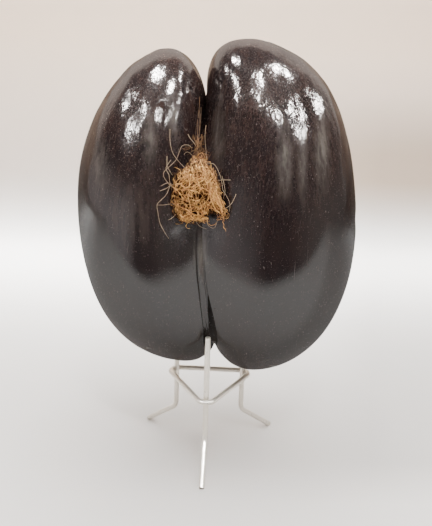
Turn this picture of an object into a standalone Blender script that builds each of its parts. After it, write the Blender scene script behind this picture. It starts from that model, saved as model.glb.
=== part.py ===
"""Double coconut resting on a three-legged wire stand. Metres, +Z up, front towards -Y."""

import math
import random

import bmesh
import bpy
from mathutils import Vector
from mathutils.bvhtree import BVHTree

# Nut: each lobe is a ball whose middle and half width follow its height.
LOBE_LEFT = {
    "height": 0.2295,
    "half_height": 0.1432,
    "middle": (-0.0701, 0.0042, 0.0363, -0.0139),
    "width": (0.053, 0.0079, 0.0237, -0.0209),
    "inner_side": 1,
}
LOBE_RIGHT = {
    "height": 0.2302,
    "half_height": 0.1527,
    "middle": (0.066, -0.0045, -0.0297, -0.0047),
    "width": (0.0654, -0.0073, 0.0269, 0.0121),
    "inner_side": -1,
}
NUT_Y = 0.017
DEPTH_FRONT = 0.084
DEPTH_BACK = 0.076
DEPTH_TAPER = 0.08
CREST_SHIFT = 0.22
LOBE_SEGMENTS = 48
LOBE_RINGS = 32

# Groove between the lobes: open above and below, shallower between.
GROOVE_LINE = (-0.01198, -0.0078, 0.01023, -0.0001)
GROOVE_LINE_CENTRE = 0.22
GROOVE_LINE_SPAN = 0.12
GROOVE_BOTTOM = 0.094
GROOVE_BOTTOM_FULL = 0.158
GROOVE_TOP = 0.338
GROOVE_TOP_FULL = 0.265
GROOVE_MEETS = 0.006
GROOVE_KEPT = 0.74
SEAM_LOW = 0.138
SEAM_HIGH = 0.25
SEAM_RADIUS = 0.0032
SEAM_PROUD = 0.0008

# Stand: a rounded triangle of wire that hugs three bent legs.
WIRE = 0.005
GAP = 0.0003
LEG_RADIUS = 0.0382
RING_HEIGHT = 0.0677
RING_BEND = 0.008
FRONT_PRONG_TOP = 0.1287
KNEE_HEIGHT = 0.0285
KNEE_BEND = 0.011
FOOT_RADIUS = 0.0727
FOOT_HEIGHT = 0.0027
FOOT_SHAVED = 0.0007
STAND_TURN = math.radians(-3.6)
LEG_ANGLES = {"front": -90.0, "right": 30.0, "left": 150.0}

# Fibre tuft: a bell-shaped core with strands standing out of it.
TUFT_X = -0.0142
TUFT_Y = -0.057
TUFT_Z = 0.2675
TUFT_HALF_WIDTH = 0.019
TUFT_HALF_DEPTH = 0.0115
TUFT_HALF_HEIGHT = 0.032
TUFT_FLARE = 0.65
TUFT_REACH = 1.12
FAN_COUNT = 6
FAN_START = (-0.012, 0.283)
FAN_END = (0.0085, 0.2375)
TUFT_CLEARANCE = 0.0009
STRAND_COUNT = 58
STRAND_RADIUS = 0.0006
STRAND_POINTS = 7
STRAND_SEED = 11

COLLECTION = "double_coconut"


def clear_scene():
    for obj in list(bpy.data.objects):
        bpy.data.objects.remove(obj, do_unlink=True)


def new_collection(name):
    collection = bpy.data.collections.new(name)
    bpy.context.scene.collection.children.link(collection)
    return collection


def new_material(name, color, metallic, roughness, coat):
    material = bpy.data.materials.new(name)
    material.use_nodes = True
    shader = material.node_tree.nodes["Principled BSDF"]
    shader.inputs["Base Color"].default_value = (*color, 1.0)
    shader.inputs["Metallic"].default_value = metallic
    shader.inputs["Roughness"].default_value = roughness
    shader.inputs["Coat Weight"].default_value = coat
    return material


def polynomial(factors, value):
    return sum(factor * value**power for power, factor in enumerate(factors))


def smoothstep(low, high, value):
    share = min(max((value - low) / (high - low), 0.0), 1.0)
    return share * share * (3.0 - 2.0 * share)


# Nut


def groove_x(z):
    """Where the groove runs at this height."""
    return polynomial(GROOVE_LINE, (z - GROOVE_LINE_CENTRE) / GROOVE_LINE_SPAN)


def groove_share(z):
    """The share of the lobes' depth that is left at the groove: none where it's open."""
    rising = smoothstep(GROOVE_BOTTOM, GROOVE_BOTTOM_FULL, z)
    falling = 1.0 - smoothstep(GROOVE_TOP_FULL, GROOVE_TOP, z)
    return GROOVE_KEPT * rising * falling


def inner_stretch(lobe, z, middle, half_width):
    """How much wider a lobe's inner side is, so that it meets the other one in the groove."""
    share = groove_share(z)
    if share <= 0.0:
        return 0.0
    across = math.sqrt(1.0 - share * share)
    wanted = abs(groove_x(z) - middle) / half_width - CREST_SHIFT * share * share
    reach = wanted / across - 1.0
    blend = smoothstep(GROOVE_BOTTOM, GROOVE_BOTTOM + GROOVE_MEETS, z)
    blend *= 1.0 - smoothstep(GROOVE_TOP - GROOVE_MEETS, GROOVE_TOP, z)
    return blend * reach / (across**2 * (2.0 - across**2))


def lobe_point(lobe, unit):
    """The point of the lobe's surface for a point of the unit ball."""
    rim = math.sqrt(max(1.0 - unit.z**2, 0.0))
    z = lobe["height"] + lobe["half_height"] * unit.z
    middle = polynomial(lobe["middle"], unit.z)
    half_width = polynomial(lobe["width"], unit.z) * rim
    depth = DEPTH_FRONT if unit.y < 0.0 else DEPTH_BACK
    y = NUT_Y + depth * (1.0 - DEPTH_TAPER * unit.z) * unit.y
    if rim < 1e-4:
        return Vector((middle, y, z))
    across = unit.x / rim
    shift = CREST_SHIFT * lobe["inner_side"] * (1.0 - across**2)
    if across * lobe["inner_side"] > 0.0:
        stretch = inner_stretch(lobe, z, middle, half_width)
        across *= 1.0 + stretch * across**2 * (2.0 - across**2)
    return Vector((middle + half_width * (across + shift), y, z))


def groove_point(z):
    """The bottom of the groove on the front, at this height."""
    level = (z - LOBE_LEFT["height"]) / LOBE_LEFT["half_height"]
    rim = math.sqrt(max(1.0 - level**2, 0.0))
    depth = DEPTH_FRONT * (1.0 - DEPTH_TAPER * level) * rim
    return Vector((groove_x(z), NUT_Y - depth * groove_share(z), z))


def make_lobe(name, lobe, collection):
    bpy.ops.mesh.primitive_uv_sphere_add(segments=LOBE_SEGMENTS, ring_count=LOBE_RINGS, radius=1.0)
    obj = bpy.context.object
    move_to(obj, name, collection)
    for vertex in obj.data.vertices:
        vertex.co = lobe_point(lobe, vertex.co)
    return obj


def make_seam(collection):
    """The raised band that runs down the groove."""
    steps = 14
    points = []
    for step in range(steps + 1):
        point = groove_point(SEAM_LOW + (SEAM_HIGH - SEAM_LOW) * step / steps)
        point.y -= SEAM_PROUD
        points.append(point)
    points[0].y += 2.0 * SEAM_RADIUS
    points[-1].y += 2.0 * SEAM_RADIUS
    return make_tube("seam", points, SEAM_RADIUS, 1, collection)


def make_nut(collection):
    pieces = new_collection("nut_pieces")
    nut = make_lobe("nut", LOBE_LEFT, collection)
    make_lobe("lobe_right", LOBE_RIGHT, pieces)
    make_seam(pieces)
    join_all(nut, pieces, "EXACT")
    smooth_shade(nut, 50.0)
    nut.data.materials.clear()
    nut.data.materials.append(new_material("lacquered_husk", (0.016, 0.010, 0.010), 0.0, 0.16, 0.8))
    return nut


# Shared building steps


def move_to(obj, name, collection):
    obj.name = name
    obj.data.name = name
    for owner in list(obj.users_collection):
        owner.objects.unlink(obj)
    collection.objects.link(obj)


def smooth_shade(obj, angle):
    for polygon in obj.data.polygons:
        polygon.use_smooth = True
    obj.data.set_sharp_from_angle(angle=math.radians(angle))


def weld(mesh):
    work = bmesh.new()
    work.from_mesh(mesh)
    bmesh.ops.remove_doubles(work, verts=work.verts, dist=1e-6)
    bmesh.ops.recalc_face_normals(work, faces=work.faces)
    work.to_mesh(mesh)
    work.free()


def make_tube(name, points, radius, roundness, collection, cyclic=False, widths=None):
    """A round wire along the points, as a closed mesh."""
    curve = bpy.data.curves.new(name, "CURVE")
    curve.dimensions = "3D"
    curve.bevel_depth = radius
    curve.bevel_resolution = roundness
    curve.use_fill_caps = not cyclic
    spline = curve.splines.new("POLY")
    spline.points.add(len(points) - 1)
    spline.use_cyclic_u = cyclic
    for index, point in enumerate(points):
        spline.points[index].co = (*point, 1.0)
        spline.points[index].radius = widths[index] if widths else 1.0
    guide = bpy.data.objects.new(name + "_guide", curve)
    collection.objects.link(guide)
    bpy.context.view_layer.update()
    evaluated = guide.evaluated_get(bpy.context.evaluated_depsgraph_get())
    mesh = bpy.data.meshes.new_from_object(evaluated)
    weld(mesh)
    obj = bpy.data.objects.new(name, mesh)
    obj.matrix_world = guide.matrix_world
    collection.objects.link(obj)
    bpy.data.objects.remove(guide, do_unlink=True)
    bpy.data.curves.remove(curve)
    return obj


def apply_modifier(obj, modifier):
    with bpy.context.temp_override(object=obj, active_object=obj, selected_objects=[obj]):
        bpy.ops.object.modifier_apply(modifier=modifier.name)


def join_all(obj, pieces, solver):
    """Unites the object with every object of the collection, which is then removed."""
    modifier = obj.modifiers.new("join", "BOOLEAN")
    modifier.operation = "UNION"
    modifier.operand_type = "COLLECTION"
    modifier.collection = pieces
    modifier.solver = solver
    apply_modifier(obj, modifier)
    for piece in list(pieces.objects):
        bpy.data.objects.remove(piece, do_unlink=True)
    bpy.data.collections.remove(pieces)


def shells_of(work):
    """The faces of each connected surface, largest first."""
    waiting = set(work.faces)
    shells = []
    while waiting:
        shell = [waiting.pop()]
        for face in shell:
            near = {other for edge in face.edges for other in edge.link_faces} & waiting
            waiting -= near
            shell += sorted(near, key=lambda other: other.index)
        shells.append(shell)
    return sorted(shells, key=len, reverse=True)


def keep_outer_shell(obj):
    """Drops the walls of the hollows that the union sealed inside the object."""
    work = bmesh.new()
    work.from_mesh(obj.data)
    inner = [face for shell in shells_of(work)[1:] for face in shell]
    bmesh.ops.delete(work, geom=inner, context="FACES")
    work.to_mesh(obj.data)
    work.free()


# Stand


def round_corner(before, corner, after, radius, steps):
    """The points of an arc that rounds one corner of a wire."""
    back = (before - corner).normalized()
    ahead = (after - corner).normalized()
    half = back.angle(ahead) / 2.0
    centre = corner + (back + ahead).normalized() * radius / math.sin(half)
    start = (corner + back * radius / math.tan(half) - centre).normalized()
    end = (corner + ahead * radius / math.tan(half) - centre).normalized()
    return [centre + start.slerp(end, step / steps) * radius for step in range(steps + 1)]


def leg_direction(side):
    angle = math.radians(LEG_ANGLES[side]) + STAND_TURN
    return Vector((math.cos(angle), math.sin(angle), 0.0))


def make_ring(collection):
    """The triangle whose corners bend round the legs with a gap."""
    apex = LEG_RADIUS + WIRE + GAP
    corners = []
    for side in ("front", "right", "left"):
        corner = leg_direction(side) * (apex + RING_BEND)
        corner.z = RING_HEIGHT
        corners.append(corner)
    points = []
    for index, corner in enumerate(corners):
        points += round_corner(corners[index - 1], corner, corners[(index + 1) % 3], RING_BEND, 8)
    return make_tube("stand_ring", points, WIRE / 2.0, 5, collection, cyclic=True)


def prong_top(tree, side):
    """How high a rear prong reaches: a gap under the lobe that it carries."""
    axis = leg_direction(side) * LEG_RADIUS
    heights = []
    for step in range(12):
        angle = math.tau * step / 12
        start = axis + Vector((math.cos(angle), math.sin(angle), 0.0)) * WIRE / 2.0
        hit = tree.ray_cast(start, Vector((0.0, 0.0, 1.0)))[0]
        heights.append(hit.z)
    return min(heights) - GAP


def shave_foot(leg):
    """Cuts the tip of the foot flat where it stands on the table."""
    bpy.ops.mesh.primitive_cube_add(size=0.3, location=(0.0, 0.0, -0.15))
    table = bpy.context.object
    move_to(table, "table_cutter", bpy.context.scene.collection)
    table.hide_render = True
    table.display_type = "WIRE"
    modifier = leg.modifiers.new("shave", "BOOLEAN")
    modifier.operation = "DIFFERENCE"
    modifier.object = table
    modifier.solver = "EXACT"
    apply_modifier(leg, modifier)
    bpy.data.objects.remove(table, do_unlink=True)


def make_leg(side, top, collection):
    """A prong, a knee under the ring and a straight foot that slants down to the table."""
    direction = leg_direction(side)
    upright = direction * LEG_RADIUS
    drop = Vector((FOOT_RADIUS - LEG_RADIUS, FOOT_HEIGHT - KNEE_HEIGHT)).normalized()
    tip_height = WIRE / 2.0 * drop.x - FOOT_SHAVED
    tip_radius = FOOT_RADIUS + (tip_height - FOOT_HEIGHT) * drop.x / drop.y
    head = upright + Vector((0.0, 0.0, top))
    knee = upright + Vector((0.0, 0.0, KNEE_HEIGHT))
    tip = direction * tip_radius + Vector((0.0, 0.0, tip_height))
    points = [head, *round_corner(head, knee, tip, KNEE_BEND, 6), tip]
    leg = make_tube("stand_leg_" + side, points, WIRE / 2.0, 5, collection)
    shave_foot(leg)
    return leg


def make_stand(nut_tree, collection):
    steel = new_material("bright_wire", (0.72, 0.69, 0.64), 1.0, 0.24, 0.0)
    tops = {"front": FRONT_PRONG_TOP}
    for side in ("right", "left"):
        tops[side] = prong_top(nut_tree, side)
    wires = [make_ring(collection)]
    wires += [make_leg(side, top, collection) for side, top in tops.items()]
    for wire in wires:
        smooth_shade(wire, 40.0)
        wire.data.materials.clear()
        wire.data.materials.append(steel)
    return wires


# Fibre tuft


def clear_of_nut(tree, point, clearance):
    """The point, moved off the nut where it's nearer than the clearance."""
    for _ in range(5):
        place, normal = tree.find_nearest(point)[:2]
        if (point - place).dot(normal) >= clearance:
            return point
        point = place + normal * clearance
    return point


def tuft_point(across, front, up):
    """A point of the bell that the tuft fills, where 1 is on its surface."""
    width = TUFT_HALF_WIDTH * (1.0 - TUFT_FLARE * up)
    depth = TUFT_HALF_DEPTH * (1.0 - 0.25 * up)
    return Vector((TUFT_X + width * across, TUFT_Y - depth * front, TUFT_Z + TUFT_HALF_HEIGHT * up))


def make_core(tree, collection):
    bpy.ops.mesh.primitive_uv_sphere_add(segments=18, ring_count=12, radius=1.0)
    core = bpy.context.object
    move_to(core, "fibre_tuft", collection)
    dice = random.Random(STRAND_SEED)
    for vertex in core.data.vertices:
        unit = vertex.co * dice.uniform(0.66, 0.88)
        vertex.co = clear_of_nut(tree, tuft_point(unit.x, -unit.y, unit.z), TUFT_CLEARANCE)
    return core


def kept_in(x, z):
    """The place across and up the tuft, held back where it leaves the bell's outline."""
    upward = (z - TUFT_Z) / TUFT_HALF_HEIGHT
    sideways = (x - TUFT_X) / (TUFT_HALF_WIDTH * (1.0 - TUFT_FLARE * min(upward, 1.0)))
    distance = math.hypot(sideways, upward)
    if distance <= TUFT_REACH:
        return x, z
    share = (TUFT_REACH + 0.25 * (distance - TUFT_REACH)) / distance
    upward *= share
    width = TUFT_HALF_WIDTH * (1.0 - TUFT_FLARE * upward)
    return TUFT_X + width * sideways * share, TUFT_Z + TUFT_HALF_HEIGHT * upward


def tuft_front(x, z, lift):
    """How far forward a strand lies here when it stands this much out of the bell."""
    sideways = (x - TUFT_X) / TUFT_HALF_WIDTH
    upward = (z - TUFT_Z) / TUFT_HALF_HEIGHT
    bulge = math.sqrt(max(1.0 - 0.8 * sideways**2 - 0.8 * upward**2, 0.0))
    return TUFT_Y - TUFT_HALF_DEPTH * bulge - lift


def strand_path(dice, tree):
    """A strand that starts in the core, curls as it runs down it and ends standing out of it."""
    up = dice.uniform(-0.62, 0.66)
    rim = math.sqrt(1.0 - up * up)
    across = dice.uniform(-0.55, 0.55) * rim
    heading = dice.gauss(-90.0 + 40.0 * across, 60.0)
    turn = dice.gauss(0.0, 26.0)
    length = dice.uniform(0.016, 0.036)
    lift = dice.uniform(0.0, 0.0026)
    step = length / (STRAND_POINTS - 1)
    point = tuft_point(across, 0.2 * math.sqrt(max(rim**2 - across**2, 0.0)), up)
    points = []
    for index in range(STRAND_POINTS):
        points.append(clear_of_nut(tree, point.copy(), TUFT_CLEARANCE + STRAND_RADIUS))
        angle = math.radians(heading + turn * index)
        point.x += step * math.cos(angle)
        point.z += step * math.sin(angle)
        point.x, point.z = kept_in(point.x, point.z)
        point.y += 0.5 * (tuft_front(point.x, point.z, lift) - point.y)
    return points


def fan_path(dice, tree):
    """A straight strand of the fan that runs down to the tuft's right corner."""
    start = Vector((FAN_START[0] + dice.gauss(0.0, 0.0035), FAN_START[1] + dice.gauss(0.0, 0.004)))
    end = Vector((FAN_END[0] + dice.gauss(0.0, 0.0022), FAN_END[1] + dice.gauss(0.0, 0.002)))
    lift = dice.uniform(0.0005, 0.0025)
    points = []
    for index in range(STRAND_POINTS):
        share = index / (STRAND_POINTS - 1)
        place = start.lerp(end, share)
        y = tuft_front(place.x, place.y, lift if index else -0.004)
        point = Vector((place.x, y, place.y))
        points.append(clear_of_nut(tree, point, TUFT_CLEARANCE + STRAND_RADIUS))
    return points


def make_tuft(tree, collection):
    pieces = new_collection("tuft_pieces")
    core = make_core(tree, collection)
    dice = random.Random(STRAND_SEED)
    widths = [1.0] * (STRAND_POINTS - 2) + [0.85, 0.6]
    paths = [strand_path(dice, tree) for _ in range(STRAND_COUNT)]
    paths += [fan_path(dice, tree) for _ in range(FAN_COUNT)]
    for index, points in enumerate(paths):
        make_tube(f"strand_{index}", points, STRAND_RADIUS, 0, pieces, widths=widths)
    join_all(core, pieces, "MANIFOLD")
    keep_outer_shell(core)
    smooth_shade(core, 60.0)
    core.data.materials.clear()
    core.data.materials.append(new_material("husk_fibre", (0.46, 0.26, 0.11), 0.0, 0.75, 0.0))
    return core


# Whole object


def set_origin(objects):
    """Puts the middle of the bounding box's underside on the origin."""
    points = [vertex.co for obj in objects for vertex in obj.data.vertices]
    low = [min(point[axis] for point in points) for axis in range(3)]
    high = [max(point[axis] for point in points) for axis in range(3)]
    shift = Vector(((low[0] + high[0]) / 2.0, (low[1] + high[1]) / 2.0, low[2]))
    for obj in objects:
        for vertex in obj.data.vertices:
            vertex.co = vertex.co - shift
    print("moved by", [round(value, 6) for value in shift])


def main():
    clear_scene()
    collection = new_collection(COLLECTION)
    nut = make_nut(collection)
    tree = BVHTree.FromObject(nut, bpy.context.evaluated_depsgraph_get())
    stand = make_stand(tree, collection)
    tuft = make_tuft(tree, collection)
    set_origin([nut, tuft, *stand])


main()
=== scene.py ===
"""Double coconut on a wire stand: the finished look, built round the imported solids."""

import math
import random

import bmesh
import bpy
import numpy as np
from mathutils import Matrix, Vector, noise
from mathutils.bvhtree import BVHTree


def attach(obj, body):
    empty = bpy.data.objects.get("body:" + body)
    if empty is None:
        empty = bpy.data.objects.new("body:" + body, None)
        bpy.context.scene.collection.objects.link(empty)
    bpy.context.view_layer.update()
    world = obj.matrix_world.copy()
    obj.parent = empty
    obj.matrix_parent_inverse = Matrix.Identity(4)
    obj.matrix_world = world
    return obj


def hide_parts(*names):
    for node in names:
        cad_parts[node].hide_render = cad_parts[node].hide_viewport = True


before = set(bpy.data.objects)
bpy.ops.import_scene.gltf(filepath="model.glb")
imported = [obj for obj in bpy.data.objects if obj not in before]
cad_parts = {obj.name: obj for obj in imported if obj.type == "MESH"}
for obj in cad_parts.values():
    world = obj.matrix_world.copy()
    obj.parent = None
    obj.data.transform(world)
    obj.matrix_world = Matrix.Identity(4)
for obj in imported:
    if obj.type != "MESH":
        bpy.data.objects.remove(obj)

bl_info = {
    "name": "Double Coconut on a Wire Stand",
    "version": (1, 0, 0),
    "blender": (4, 5, 0),
    "location": "View3D > Sidebar > Coconut",
    "description": "Builds a lacquered double coconut with its fibre tuft, wire stand and studio",
    "category": "Object",
}

BODY = "root"

# Where the solids' origin lies in the frame that the nut's shape is given in.
ORIGIN = np.array((0.004569, 0.008664, 0.0))

# Nut, in the same values as its solid
LOBE_LEFT = {
    "height": 0.2295,
    "half_height": 0.1432,
    "middle": (-0.0701, 0.0042, 0.0363, -0.0139),
    "width": (0.053, 0.0079, 0.0237, -0.0209),
    "inner_side": 1,
}
LOBE_RIGHT = {
    "height": 0.2302,
    "half_height": 0.1527,
    "middle": (0.066, -0.0045, -0.0297, -0.0047),
    "width": (0.0654, -0.0073, 0.0269, 0.0121),
    "inner_side": -1,
}
NUT_Y = 0.017
DEPTH_FRONT = 0.084
DEPTH_BACK = 0.076
DEPTH_TAPER = 0.08
CREST_SHIFT = 0.22
GROOVE_LINE = (-0.01198, -0.0078, 0.01023, -0.0001)
GROOVE_LINE_CENTRE = 0.22
GROOVE_LINE_SPAN = 0.12
GROOVE_BOTTOM = 0.094
GROOVE_BOTTOM_FULL = 0.124
GROOVE_TOP = 0.338
GROOVE_TOP_FULL = 0.265
GROOVE_MEETS = 0.006
GROOVE_MEETS_LOW = 0.011
GROOVE_KEPT = 0.74

# Dents in the husk, each as its centre, its reach along each axis and its depth
DENTS = (
    ((0.131, 0.005, 0.232), (0.01, 0.02, 0.008), 0.0009),
    ((-0.027, -0.055, 0.222), (0.009, 0.02, 0.010), 0.0016),
    ((-0.001, -0.055, 0.224), (0.006, 0.02, 0.008), 0.0012),
)

# Seam, by the pixels that its creases pass through and the half widths of the creases in pixels
SEAM_TOP = 0.262
SEAM_END = 0.1295
SEAM_HALF_WIDTH = 0.0034
SEAM_PROUD = 0.0021
SEAM_SHIFT = 0.0006
SEAM_HALF_DEPTH = 0.008
SEAM_SQUARE = 0.55
SEAM_ROWS = 80
SEAM_SIDES = 28
CREASE_LEFT = ((197.0, 226), (196.3, 240), (196.2, 257), (197.2, 276), (198.8, 290), (200.2, 303),
               (202.2, 318), (204.4, 331))
CREASE_LEFT_HALF = (0.3, 0.6, 0.55, 0.75, 0.65, 0.4, 0.45, 1.1)
CREASE_LEFT_DEPTH = 0.0016
CREASE_RIGHT = ((203.6, 246), (204.2, 260), (205.0, 273), (206.4, 284), (207.9, 294), (208.2, 300))
CREASE_RIGHT_HALF = (0.1, 0.2, 0.35, 0.45, 0.6, 0.6)
CREASE_RIGHT_DEPTH = 0.0010
HOLLOW = ((207.8, 293), (209.6, 300), (211.4, 307), (214.3, 319.5), (216.8, 332), (217.4, 341), (216.0, 350),
          (204.4, 350), (203.2, 339), (203.6, 331), (204.9, 326.5), (207.0, 332), (208.4, 330),
          (208.5, 319.5), (207.9, 307))
HOLLOW_DEPTH = 0.024

# Tuft
TUFT_X = -0.0139
TUFT_Y = -0.057
TUFT_Z = 0.2612
TUFT_HALF_WIDTH = 0.0200
TUFT_HALF_DEPTH = 0.0115
TUFT_HALF_HEIGHT = 0.0222
TUFT_ROUND_TOP = 2.1
TUFT_ROUND_BOTTOM = 4.0
TUFT_LEAN = 0.13
STRAY_Y = -0.062
CLEARANCE = 0.0003
CORE_CLEARANCE = 0.0006
SINUS_CLEARANCE = 0.00012
NECK_FIBRES = 50
SINUS_FIBRES = 9

# Tuft, by pixels: its outline, the dark hole low on its right where the dark core shows as painted shade, the
# sunken brown hollow above that whose fibres get painted shade, the flow of its golden brush and its lower
# rim
TUFT_OUTLINE = ((197, 153), (201, 151), (206, 155), (207.4, 163), (212.4, 169), (215.2, 173), (218.7, 187),
                (220.4, 194), (222.9, 203), (225.7, 211), (228, 217.5), (226.4, 218.7), (222.2, 220.8),
                (217.3, 221.5), (211.6, 221.5), (207.4, 222.2), (201, 220.1), (194, 220.1), (190, 222.9),
                (182.2, 221.9), (178, 217.3), (175.2, 211), (173.8, 205.4), (169.2, 202.6), (170.9, 198.4),
                (174.9, 193.5), (172.4, 187.2), (172, 179.4), (174.5, 173), (178, 168.9), (184, 170),
                (188.5, 163.3), (191.3, 159.1), (194, 156.3))
TUFT_HOLE = (213.0, 216.2, 5.2, 5.0)
TUFT_HOLLOW = (202.5, 196.8, 4.6, 4.4)
BRUSH_START = (199.0, 156.0)
BRUSH_END = (224.5, 215.0)
RIM_COLUMNS = (176.0, 225.0)
RIM_ROW = 218.5

# Patches of the lacquer by pixel, each as its middle, half width, half height and strength: speckled bloom
# and painted reflection, upright grey bands of painted reflection, and patches of painted shade that damp the
# gloss
BLOOMS_AND_REFLECTIONS = ((180, 233, 15, 11, 0.9), (213, 232, 9, 8, 0.8), (200.5, 245, 4, 18, 0.8), (177, 120, 5.5, 24, 0.5))
REFLECTION_BANDS = ((150, 138, 6, 22, 0.6), (285, 162, 6, 28, 0.9), (219, 132, 5, 26, 0.5), (303, 166, 4, 28, 0.7),
         (322, 150, 6, 30, 0.9), (100, 165, 7, 22, 0.5), (200.5, 246, 5, 24, 1.0), (135, 215, 26, 34, 0.14),
         (174, 116, 5, 16, 0.6))
SHADE_PATCHES = ((214, 152, 9, 24, 1.0), (190, 140, 7, 26, 1.0), (188, 98, 6, 16, 0.7), (222, 92, 5, 12, 0.4),
         (352, 232, 9, 70, 0.4), (80, 215, 8, 60, 0.45), (214, 167, 6, 8, 1.0), (127, 98, 6, 6, 0.8),
         (161, 104, 8, 6, 1.0), (163, 116, 4, 10, 0.9), (171, 115, 5, 11, 0.9), (178, 107, 4, 11, 0.9),
         (137, 122, 4, 10, 0.9), (124, 129, 3, 9, 0.7), (262, 215, 34, 40, 0.45))

# Heights between which the crown's and the low part's finish fade in
CROWN_HEIGHTS = (0.20, 0.34)
LOW_HEIGHTS = (0.105, 0.150)

# Camera
IMAGE_WIDTH = 432
IMAGE_HEIGHT = 526
FOCAL_PIXELS = 560.0
CAMERA_PLACE = (-0.0109349, -0.4981085, 0.3226598)
CAMERA_PITCH = 0.2662
CAMERA_ROLL = 0.0333
CAMERA_PAN = 0.0292

# Table, and the curve that turns it into a wall
TABLE_SIDE = 3.2
TABLE_FRONT = -0.50
TABLE_BACK = 0.9
CURVE = 0.6
WALL_TOP = 1.05

# Ceiling panels by their place across and along the room, and the ceiling's height
NEAR_PANELS = ((-0.43, -0.10), (0.15, -0.52), (0.70, 0.0))
FAR_PANELS = ((-1.50, 0.02), (-0.98, -0.66), (-1.50, -0.90), (-0.12, -1.02), (0.57, -1.18), (1.14, -0.66),
              (1.56, -1.02), (1.80, 0.38))
CEILING = 1.6

# Stray fibres by the pixels that they pass through, with how far they stand off the nut in mm
STRAYS = (
    (1.5, ((170, 186), (166, 195), (160, 201), (157, 205), (158, 213), (160, 223), (164, 231), (169, 239))),
    (1.5, ((157, 205), (163, 205), (171, 204), (178, 205))),
    (3.0, ((192, 148), (188, 145), (182, 146), (179, 153), (176, 160), (170, 166), (164, 172), (164, 177),
           (168, 183), (172, 187), (178, 190))),
    (2.5, ((170, 129), (170, 140), (172, 151), (176, 158), (182, 165), (190, 173), (194, 179))),
    (2.0, ((167, 156), (167, 165), (168, 168), (173, 176))),
    (2.5, ((160, 191), (167, 188), (171, 185), (178, 184))),
    (1.5, ((161, 186), (167, 183), (172, 184))),
    (3.0, ((203, 163), (209, 163), (215, 165), (220, 175), (222, 183), (223, 190), (226, 195), (229, 201),
           (230, 206), (229, 212))),
    (4.0, ((215, 181), (222, 180), (228, 180), (231, 180))),
    (3.0, ((236, 194), (234, 199), (231, 204), (226, 208), (218, 210))),
    (4.0, ((207, 217), (207, 221), (208, 225), (212, 228), (215, 227), (217, 222), (218, 217), (215, 212))),
    (2.0, ((196, 219), (197, 223), (201, 227), (207, 229))),
    (2.0, ((188, 134), (190, 138), (194, 143), (198, 150))),
    (3.0, ((184, 155), (185, 153), (188, 152), (192, 155), (196, 160))),
    (2.0, ((206, 125), (205, 136), (206, 151), (207, 162), (208, 172))),
    (2.0, ((176, 214), (172, 218), (168, 220))),
    (3.0, ((171, 160), (166, 168), (169, 175), (170, 183), (175, 190))),
    (2.0, ((222, 176), (224, 184), (225, 192), (223, 199))),
)


# Settings that a user would change


def color_setting(name, description, default):
    return bpy.props.FloatVectorProperty(
        name=name, description=description, subtype="COLOR", size=3, default=default, min=0.0, max=1.0)


def length_setting(name, description, default, lowest, highest):
    return bpy.props.FloatProperty(
        name=name, description=description, default=default, min=lowest, max=highest, precision=5,
        unit="LENGTH")


def power_setting(name, description, default):
    return bpy.props.FloatProperty(
        name=name, description=description, default=default, min=0.0, unit="POWER")


class NutSettings(bpy.types.PropertyGroup):
    husk_dark: color_setting("Dark husk", "Colour of most of the husk", (0.0075, 0.005, 0.0055))
    husk_brown: color_setting(
        "Brown husk", "Colour where the husk shows through the lacquer", (0.030, 0.015, 0.011))
    fleck: color_setting("Flecks", "Colour of the pale flecks and dust", (0.32, 0.27, 0.25))
    flute_depth: length_setting(
        "Flute depth", "How deep the shallow upright flutes are", 0.00042, 0.0, 0.003)
    swell_depth: length_setting(
        "Swell depth", "How deep the broad uneven swells are", 0.0007, 0.0, 0.004)
    segments: bpy.props.IntProperty(
        name="Segments", description="Faces round each lobe", default=220, min=24, max=400)
    rings: bpy.props.IntProperty(
        name="Rings", description="Rows of faces up each lobe", default=160, min=16, max=300)


class TuftSettings(bpy.types.PropertyGroup):
    fibre_count: bpy.props.IntProperty(
        name="Fibres", description="How many fibres the tuft has", default=1200, min=10, max=4000)
    fibre_radius: length_setting(
        "Fibre radius", "Half the thickness of a fibre", 0.00032, 0.00005, 0.001)
    fibre_light: color_setting("Light fibre", "Colour of the palest fibres", (1.0, 0.60, 0.19))
    fibre_dark: color_setting("Dark fibre", "Colour of the darkest fibres", (0.44, 0.195, 0.082))
    seed: bpy.props.IntProperty(name="Seed", description="Picks another tuft", default=7, min=0)


class StandSettings(bpy.types.PropertyGroup):
    metal: color_setting("Metal", "Colour of the wire", (0.72, 0.69, 0.62))
    roughness: bpy.props.FloatProperty(
        name="Roughness", description="How dull the wire is", default=0.26, min=0.0, max=1.0,
        subtype="FACTOR")


class StudioSettings(bpy.types.PropertyGroup):
    table: color_setting("Table", "Colour of the table", (0.74, 0.72, 0.69))
    wall: color_setting("Wall", "Colour of the wall behind", (1.0, 0.80, 0.63))
    soft_power: power_setting("Soft light", "Power of the broad soft light above", 122.0)
    key_power: power_setting("Key light", "Power of the small light above the camera", 9.0)
    tuft_power: power_setting("Tuft light", "Power of the small light on the tuft", 0.05)
    wash_power: power_setting("Table wash", "Power of the light that brightens the table behind", 40.0)
    panel_power: power_setting("Panel light", "Power of each small ceiling panel", 45.0)


# Shader expressions


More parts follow.
